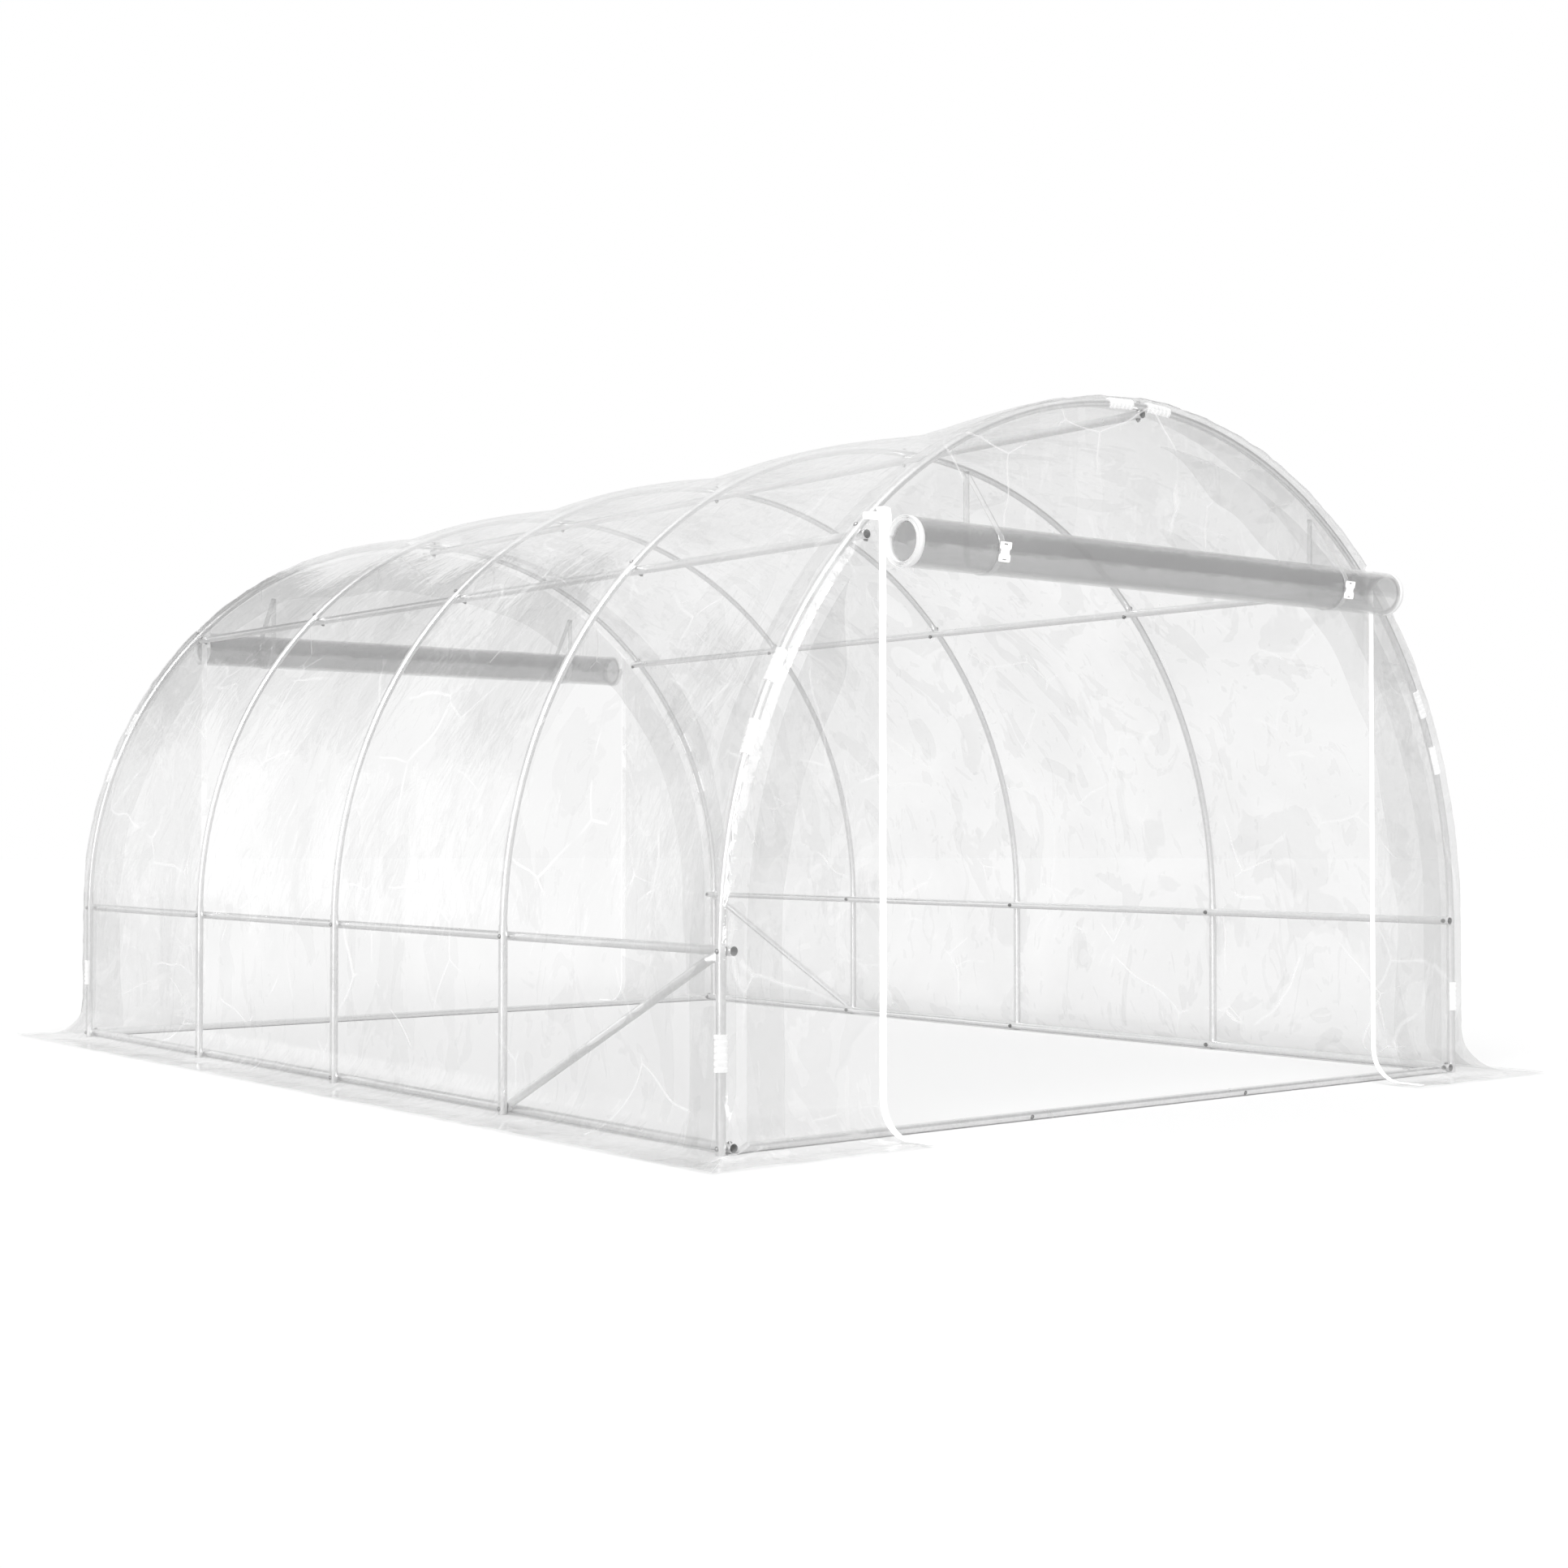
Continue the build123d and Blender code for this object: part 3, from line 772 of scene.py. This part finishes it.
def roll_point(end, x_low, x_high, seed):
    def place(u, v):
        x = x_low + (x_high - x_low) * u
        turn = v * door_turns
        slack = 0.0012 * fold(x * 2.5, turn * 0.5, 0, 0.5, seed)
        slack += 0.0006 * fold(x, turn, 0, 0.12, seed + 1)
        return spiral_point(turn, end, x, min(slack, 0.0))
    return place


def add_roll(end, end_name):
    film_half = door_half - ring_width
    bm = grid_sheet(120, 215, roll_point(end, -film_half, film_half, 80 + end))
    if end < 0:
        bmesh.ops.reverse_faces(bm, faces=bm.faces)
    roll = finish_piece(f"{end_name}_rolled_door", bm, roll_materials[end])
    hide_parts(f"{end_name}_door_roll")


for end, end_name in ends:
    add_roll(end, end_name)

# %% [markdown]
# The end flap of the cover is folded round each end hoop and welded to itself, so a second layer
# of film lies along the rim of each end and along the edge of the cover. Two layers look greyer
# than one, with a soft wavy edge. The widths are read at a few places round the rim and joined up
# smoothly.


# %% Widths of the hems
def between(table, value):
    """Value from a table of (place, width) pairs, with smooth steps from one pair to the next."""
    for (low, low_width), (high, high_width) in zip(table, table[1:]):
        if value <= high:
            return low_width + (high_width - low_width) * smooth_step(low, high, value)
    return table[-1][1]


# places in degrees round the hoop from +X; below 0 and above 180 the leg goes on straight down
end_hem_widths = {
    -1: [(-22, 0.27), (-14, 0.345), (0, 0.325), (8, 0.345), (17, 0.335), (34, 0.305), (54, 0.295),
         (64, 0.25), (75, 0.20), (88, 0.104), (140, 0.04), (150, 0.17), (165, 0.15), (202, 0.16)],
    1: [(-22, 0.12), (0, 0.14), (10, 0.15), (28, 0.145), (42, 0.15), (57, 0.205), (70, 0.20),
        (85, 0.20), (105, 0.165), (121, 0.085), (133, 0.07), (142, 0.125), (154, 0.135),
        (180, 0.12), (202, 0.14)],
}
cover_hem_from_end = {-1: 0.055, 1: 0.008}   # where the cover's hem starts, in from its end
hem_foot = 0.03              # height at which the hems of the ends stop
leg_degrees = math.degrees((side_height - hem_foot) / rim)


def rim_place(degrees_round, inwards):
    """Point of an end's plane at an angle round the rim and a distance in from it."""
    if 0 <= degrees_round <= 180:
        angle = math.radians(degrees_round)
        return (rim - inwards) * math.cos(angle), side_height + (rim - inwards) * math.sin(angle)
    side = 1 if degrees_round < 0 else -1
    past = -degrees_round if degrees_round < 0 else degrees_round - 180
    return side * (rim - inwards), side_height - math.radians(past) * rim


# %% Hems on the ends
hem_gap = 0.004              # from a hem to the film outside it
hem_end_gap = 0.003          # more of it at the hem's free edge


def end_hem_point(end, first, last, start):
    def place(u, v):
        around = first + u * (last - first)
        width = between(end_hem_widths[end], around)
        width += 0.01 * fold(around * 0.03, end, 0, 0.3, 30) * min((width - start) / 0.05, 1.0)
        x, z = rim_place(around, start + (width - start) * v)
        free = smooth_step(0.0, 1.0, v)
        hang = 0.010 * fold(x, z, 0, 0.20, 31 + end) * free + 0.003 * fold(x, z, 0, 0.06, 33) * free
        return Vector((x, end * (film_y - hem_gap - hem_end_gap * free + min(hang, 0.0)), z))
    return place


def add_end_hem(name, end, first, last, start):
    """Hem from one angle to another round the rim, which starts at a distance in from the rim."""
    bm = grid_sheet(round(2 * (last - first)), 14, end_hem_point(end, first, last, start))
    area = mesh_area(bm)
    hem = finish_piece(name, bm, hem_material)


# %% Hems of the cover along its two ends
# places from 0 to 1 along the hem, from the left foot of the cover to the right one
cover_hem_widths = {
    -1: [(0.0, 0.16), (0.35, 0.13), (0.5, 0.15), (0.7, 0.20), (0.85, 0.16), (1.0, 0.15)],
    1: [(0.0, 0.13), (0.2, 0.15), (0.4, 0.12), (0.5, 0.14), (0.62, 0.20), (0.75, 0.22),
        (0.85, 0.15), (1.0, 0.13)],
}
# share of the cover's section that a hem runs along: all but the skirts and the foot of the flares
above_ground = (0.6 * flare_length + wall_length + arch_length / 2) / half_length


def cover_hem_point(end):
    def place(u, v):
        across = 0.5 + (u - 0.5) * above_ground
        x, z, out_x, out_z, offset = cover_section((2 * across - 1) * half_length)
        width = between(cover_hem_widths[end], u) * (1 + 0.06 * fold(u * 9, end, 0, 0.5, 35))
        start = cover_hem_from_end[end]
        from_end = start + (width - start) * v
        along = 0.5 + end * 0.5 * (1 - from_end / (film_y + offset))
        on_cover = cover_point(across, along)
        inwards = hem_gap + 0.004 * smooth_step(0.5, 1.0, v)
        return on_cover - Vector((out_x, 0, out_z)) * inwards
    return place


def add_cover_hem(end, end_name):
    bm = grid_sheet(300, 12, cover_hem_point(end))
    area = mesh_area(bm)
    hem = finish_piece(f"{end_name}_cover_hem", bm, hem_material)


add_end_hem("front_right_end_hem", -1, -leg_degrees, 88, 0.10)
add_end_hem("front_left_end_hem", -1, 140, 180 + leg_degrees, 0.035)
add_end_hem("rear_end_hem", 1, -leg_degrees, 180 + leg_degrees, 0.012)
add_cover_hem(-1, "front")
add_cover_hem(1, "rear")

# %% [markdown]
# The zips are white woven tape. One half is sewn to each side panel and runs down the edge of the
# doorway and out over the skirt. The other half is on the door, so it only shows beside the head,
# from the top down to the roll. A tape is a narrow sheet with a thickness, with the coil as a bead
# of fine ridges on its edge and a row of stitches near the other edge.

# %% Woven tape and its coil
tape_width = 0.020
head_tape_width = 0.015
tape_lift = 0.0024           # of the tape over the film
skirt_tape_lift = tape_lift + skirt_wave     # more of it over the waves of the skirt
tape_thickness = 0.0012
coil_width = 0.0045
coil_rise = 0.0022           # of the coil over the tape
coil_ridge = 0.00035
coil_step = 0.003            # from one ridge to the next
coil_thickness = 0.0004
stitch_step = 0.007
stitch_start = 0.01
stitch_size = (0.0009, 0.0006, 0.0042)
stitch_lift = tape_lift + tape_thickness + 0.0003
zip_top = side_height + math.sqrt(rim ** 2 - (door_half + tape_width) ** 2)


def tape_path(end, down):
    """Outward Y, height, and 0 to 1 for how flat a tape lies, by the distance down from its top."""
    height = zip_top - down
    offset = 0.0
    if height < flare_radius:
        offset, height = foot_offset(down - (zip_top - flare_radius))
    flat = min(offset / flare_radius, 1.0)
    return end * (film_y + offset), height + skirt_tape_lift * flat, flat


def tape_point(side, end, x_low, x_high, run, rise=0.0, ridge=0.0):
    def place(u, v):
        down = (1 - v) * run
        y, height, flat = tape_path(end, down)
        lift = tape_lift + rise * math.sin(math.pi * u)
        lift += ridge * math.sin(2 * math.pi * down / coil_step) * math.sin(math.pi * u)
        wave = 0.0015 * fold(side * x_low, height, end, 0.16, 41)
        y += end * (lift * (1 - flat) + max(wave, 0.0) * (1 - flat))
        return Vector((side * (x_low + (x_high - x_low) * u), y, height + lift * flat))
    return place


def add_stitches(bm, side, end, x, run):
    """Row of short stitches along a tape, made apart, because each new cube slows a large mesh."""
    row = bmesh.new()
    width, thickness, length = stitch_size
    for n in range(int((run - 2 * stitch_start) / stitch_step)):
        y, height, flat = tape_path(end, stitch_start + n * stitch_step)
        middle = (side * x, y + end * stitch_lift * (1 - flat), height + stitch_lift * flat)
        turned = (length - thickness) * flat
        shape = Matrix.Diagonal((width, thickness + turned, length - turned, 1))
        bmesh.ops.create_cube(row, size=1.0, matrix=Matrix.Translation(Vector(middle)) @ shape)
    merge_into(bm, row)


def thick_strip(columns, rows, place, thickness):
    """Grid strip with a thickness, all its faces outwards."""
    bm = grid_sheet(columns, rows, place)
    bmesh.ops.recalc_face_normals(bm, faces=bm.faces)
    bmesh.ops.solidify(bm, geom=bm.faces[:], thickness=thickness)
    bmesh.ops.recalc_face_normals(bm, faces=bm.faces)
    return bm


def merge_into(bm, other):
    """Add the faces of another bmesh, which is freed."""
    mesh = bpy.data.meshes.new("merge")
    other.to_mesh(mesh)
    other.free()
    bm.from_mesh(mesh)
    bpy.data.meshes.remove(mesh)


def half_zip(side, end, inner, outer, run, rows, coil_rows, seam_x):
    """Tape from its inner to its outer edge, with its stitches and the coil on the inner edge."""
    bm = thick_strip(3, rows, tape_point(side, end, inner, outer, run), tape_thickness)
    coil_edge = inner + math.copysign(coil_width, outer - inner)
    coil_place = tape_point(side, end, inner, coil_edge, run, coil_rise, coil_ridge)
    merge_into(bm, thick_strip(6, coil_rows, coil_place, coil_thickness))
    add_stitches(bm, side, end, seam_x, run)
    return bm


def add_zip(side, side_name, end, end_name):
    """The panel's half from top to skirt, the door's half beside the head, and the patch."""
    panel_length = zip_top - flare_radius + flare_length + skirt_flat - 0.001
    outer = door_half + tape_width
    bm = half_zip(side, end, door_half - 0.001, outer, panel_length, 150, 1300, outer - 0.004)
    outer = door_half - head_tape_width
    merge_into(bm, half_zip(side, end, door_half - 0.0015, outer, zip_top - roll_centre, 12, 120,
                            outer + 0.003))
    merge_into(bm, zip_patch(side, end))
    piece = finish_piece(f"{end_name}_{side_name}_zip", bm, tape_material, smooth=False)
    print(piece.name, "faces", len(piece.data.polygons))
    return piece


# %% The patch over the top of a zip
def wrap_over_rim(point, end):
    """Move a point on an end's plane back round the corner of the cover, if it is past the rim."""
    radius = math.hypot(point.x, point.z - side_height)
    past = min(max(radius - rim, 0.0), corner_round * 0.98)
    recess = corner_round - math.sqrt(corner_round ** 2 - past ** 2)
    return Vector((point.x, point.y - end * recess, point.z))


# middle from the tape's top, and half size, in X and Z, of the block and of the lobe
patch_parts = ((0.004, 0.004, 0.021, 0.034), (0.034, 0.012, 0.024, 0.011))
patch_lift = tape_lift + 0.0026
patch_thickness = 0.0014
patch_rounding = 0.13        # how far its corners are drawn in


def zip_patch(side, end):
    """Folded end of both tapes: a rounded block with a lobe that reaches out over the hoop."""
    bm = bmesh.new()
    for x_middle, z_middle, half_x, half_z in patch_parts:
        part = bmesh.new()
        bmesh.ops.create_grid(part, x_segments=10, y_segments=10, size=1.0)
        for vertex in part.verts:
            a, b = vertex.co.x, vertex.co.y
            pull = 1 - patch_rounding * (a * b) ** 2
            x = side * (door_half + x_middle + half_x * a * pull)
            y = end * (film_y + patch_lift + 0.0008 * fold(x, b, end, 0.01, 50))
            z = zip_top + z_middle + half_z * b * pull
            vertex.co = wrap_over_rim(Vector((x, y, z)), end)
        bmesh.ops.recalc_face_normals(part, faces=part.faces)
        bmesh.ops.solidify(part, geom=part.faces[:], thickness=patch_thickness)
        bmesh.ops.recalc_face_normals(part, faces=part.faces)
        merge_into(bm, part)
    return bm


for end, end_name in ends:
    zips = [add_zip(side, side_name, end, end_name) for side, side_name in sides]
    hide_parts(f"{end_name}_door_zips")

# %% [markdown]
# At each end of a rolled-up door its zip tape is rolled up too, and the turns of white tape make a
# ring. They are the same spiral as the film, a little thicker, with their edges slightly uneven.


# %% Rings of rolled-up tape
def tape_ring_point(side, end, seed):
    def place(u, v):
        turn = v * (door_turns - 0.35)
        uneven = 0.0022 * fold(turn * 1.3, side, end, 0.4, seed)
        x = side * (door_half - ring_width * (1 - u) + (uneven - 0.0008) * u)
        slack = -0.0003 - 0.0007 * abs(fold(turn, side, end, 0.6, seed + 1))
        return spiral_point(turn, end, x, slack)
    return place


def add_tape_ring(side, side_name, end, end_name):
    bm = thick_strip(2, 260, tape_ring_point(side, end, 90 + side), 0.0019)
    ring = finish_piece(f"{end_name}_{side_name}_tape_ring", bm, ring_material)
    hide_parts(f"{end_name}_door_roll")


for end, end_name in ends:
    for side, side_name in sides:
        add_tape_ring(side, side_name, end, end_name)

# %% [markdown]
# Two straps hold each roll up. A strap is a band of the same film, doubled and welded to a stiffer
# strip: it comes down straight behind the roll, goes round under it and up the front, and from the
# front it runs slanting back to the point where it is sewn to the head. The buckle sits on the
# front.

# %% Straps
strap_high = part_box("front_door_straps")[1]
strap_width = 0.020
strap_thickness = 0.0010
strap_middle = strap_high.x - strap_width / 2
strap_top = strap_high.z - 0.004
strap_radius = roll_radius + 0.0012
roll_y = film_y + roll_radius


def strap_outline():
    """Points (back, up) from the roll's middle round the strap, from its top and back to it."""
    rise = strap_top - roll_centre
    reach = math.hypot(strap_radius, rise)
    touch = math.atan2(rise, strap_radius) + math.acos(strap_radius / reach)
    points = [(strap_radius, rise * (1 - n / 8)) for n in range(8)]
    arc = 2 * math.pi - touch
    points += [(strap_radius * math.cos(-arc * n / 48), strap_radius * math.sin(-arc * n / 48))
               for n in range(49)]
    back, up = points[-1]
    points += [(back + (strap_radius - back) * n / 10, up + (rise - up) * n / 10)
               for n in range(1, 11)]
    return points


def strap_point(side, end, outline):
    def place(u, v):
        back, up = outline[min(round(v * (len(outline) - 1)), len(outline) - 1)]
        sway = 0.0015 * fold(side, v * 3, end, 0.6, 95)
        x = side * strap_middle + strap_width * (u - 0.5) + sway
        return Vector((x, end * (roll_y - back), roll_centre + up))
    return place


def add_straps(end, end_name):
    outline = strap_outline()
    length = sum(math.dist(a, b) for a, b in zip(outline, outline[1:]))
    for side, side_name in sides:
        bm = thick_strip(4, len(outline) - 1, strap_point(side, end, outline), strap_thickness)
        strap = finish_piece(f"{end_name}_{side_name}_strap", bm, strap_material)
        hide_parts(f"{end_name}_door_straps")
    print(end_name, "straps, length", round(length, 3))


for end, end_name in ends:
    add_straps(end, end_name)

# %% [markdown]

# %% [markdown]
# Bolts hold the frame together. At each crossing one bolt goes through the hoop and the rail: its
# round head is outside, under the film, and its nut is inside, under the rail. They are small dark
# dots in the photograph, so a head and a nut of a few faces each are enough.

# %% Bolts and nuts
rail_radius = 0.0125
leg_radius = 0.0125
sunk = 0.0003                # of a head or a nut into its tube
arc_radius = (hoop_tops[0][1].y - hoop_tops[0][0].y) / 2
leg_face = leg_high.x
hoop_radius = leg_face - leg_radius      # of the hoops' middle line
base_low, base_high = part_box("right_base_rail")
side_low, side_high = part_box("right_side_rail")
rail_x = (base_low.x + base_high.x) / 2
base_z = (base_low.z + base_high.z) / 2
side_z = (side_low.z + side_high.z) / 2
sill_joint_x = 0.465
rivet_from_joint = 0.022


def add_discs(bm, place, axis, discs):
    """Short cones along an axis, each as middle, depth, lower and upper radius, and corners."""
    axis = Vector(axis).normalized()
    for middle, depth, low_radius, high_radius, corners in discs:
        bmesh.ops.create_cone(bm, cap_ends=True, segments=corners, radius1=low_radius,
                              radius2=high_radius, depth=depth,
                              matrix=facing(axis, Vector(place) + axis * middle))


def bolt_head(bm, place, axis, height=0.0036):
    """Washer and low round head, standing on the place."""
    add_discs(bm, place, axis, ((0.0004, 0.001, 0.0068, 0.0066, 20),
                                (0.0008 + height / 2, height - 0.001, 0.0054, 0.0034, 16)))


def bolt_nut(bm, place, axis):
    """Washer, hexagon nut and the end of the thread standing out of it."""
    add_discs(bm, place, axis, ((0.0004, 0.001, 0.0072, 0.0072, 20),
                                (0.0034, 0.005, 0.0062, 0.0062, 6),
                                (0.0074, 0.004, 0.0029, 0.0025, 12)))


def hoop_bolts(number, y):
    bm = bmesh.new()
    for angle in (45, 90, 135):
        out = Vector((math.cos(math.radians(angle)), 0, math.sin(math.radians(angle))))
        middle = Vector((0, y, side_height))
        bolt_head(bm, middle + out * (hoop_radius + arc_radius - sunk), out)
        bolt_nut(bm, middle + out * (hoop_radius - arc_radius - 2 * rail_radius + sunk), -out)
    for side in (-1, 1):
        for z in (base_z, side_z):
            bolt_head(bm, (side * (leg_face - sunk), y, z), (side, 0, 0))
            bolt_nut(bm, (side * (rail_x - rail_radius + sunk), y, z), (-side, 0, 0))
    bolts = finish_piece(f"hoop_{number}_bolts", bm, bolt_material, smooth=False)
    return len(bolts.data.polygons)


def sill_bolts(end, end_name):
    """Rivets beside the joints of a sill bar, and a bolt down through each flat end."""
    bm = bmesh.new()
    lean = Vector((0, end * 0.92, -0.25)).normalized()
    for side in (-1, 1):
        rivet = Vector((side * (sill_joint_x - rivet_from_joint), end * hoop_ys[-1], rail_radius))
        bolt_head(bm, rivet + lean * (rail_radius - 0.0006), lean, 0.0026)
        flat_end = (side * rail_x, end * hoop_ys[-1], base_z + rail_radius - 0.0004)
        bolt_head(bm, flat_end, (0, 0, 1))
    finish_piece(f"{end_name}_sill_bolts", bm, bolt_material, smooth=False)


for number, y in enumerate(hoop_ys, start=1):
    faces = hoop_bolts(number, y)
print("faces in a hoop's bolts", faces)
for end, end_name in ends:
    sill_bolts(end, end_name)

# %% [markdown]
# The steel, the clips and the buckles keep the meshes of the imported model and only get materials.
# Zinc on steel has a faint mottle of flat crystals and a soft mirror finish.

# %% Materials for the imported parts
steel_parts = ["hoop_", "_rail", "_purlin", "_sill_bar", "_brace"]
plastic_parts = ["_film_clips", "_buckles"]
dressed = {"steel": 0, "plastic": 0}
for name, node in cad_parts.items():
    for words, material, kind in ((steel_parts, steel_material, "steel"),
                                  (plastic_parts, plastic_material, "plastic")):
        if any(word in name for word in words):
            node.data.materials.clear()
            node.data.materials.append(material)
            dressed[kind] += 1
print("packed parts dressed", dressed)
